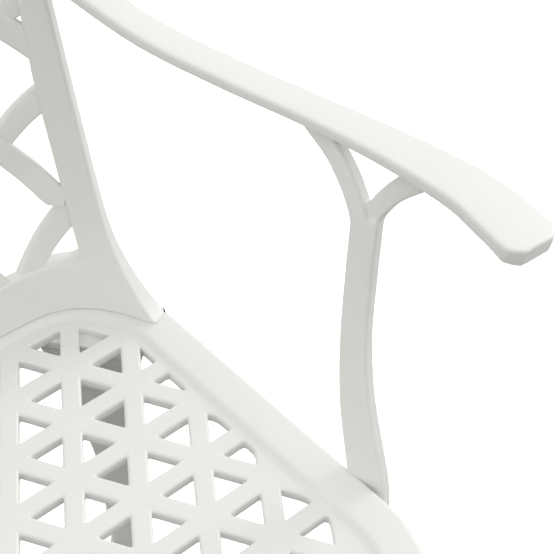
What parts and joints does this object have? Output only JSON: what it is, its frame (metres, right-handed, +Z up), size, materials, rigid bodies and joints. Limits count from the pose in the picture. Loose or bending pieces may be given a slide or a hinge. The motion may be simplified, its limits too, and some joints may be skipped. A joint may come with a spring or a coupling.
{
  "type": "garden bench",
  "caption": "Two-seat cast garden bench with a triangle-lattice seat, a crossed-slat curved backrest, swept armrests on forked uprights and splayed legs.",
  "frame": {"origin": "point on the floor under the middle of the bench's bounding box", "axes": "+X along the bench towards the sitter's left hand, seen at the viewer's right from the front; +Y from the front edge to the backrest; +Z up"},
  "size_m": [1.0312, 0.5104, 0.8],
  "materials": {
    "white_powder_coat": "satin white powder coat on cast aluminium",
    "stainless_steel": "plain stainless fasteners",
    "black_plastic": "moulded black nylon"
  },
  "bodies": {
    "root": {"seat": "white_powder_coat", "backrest": "white_powder_coat", "arm_left": "white_powder_coat", "arm_right": "white_powder_coat", "leg_front_left": "white_powder_coat", "leg_front_right": "white_powder_coat", "leg_rear_left": "white_powder_coat", "leg_rear_right": "white_powder_coat", "glide_front_left": "black_plastic", "glide_front_right": "black_plastic", "glide_rear_left": "black_plastic", "glide_rear_right": "black_plastic", "leg_bolts": "stainless_steel", "leg_washers": "stainless_steel", "back_bolts": "stainless_steel", "back_washers": "stainless_steel", "back_bolt_caps": "black_plastic", "arm_seat_bolts": "stainless_steel", "arm_seat_washers": "stainless_steel", "arm_seat_nuts": "stainless_steel", "arm_back_bolts": "stainless_steel", "arm_back_washers": "stainless_steel"}
  },
  "joints": []
}
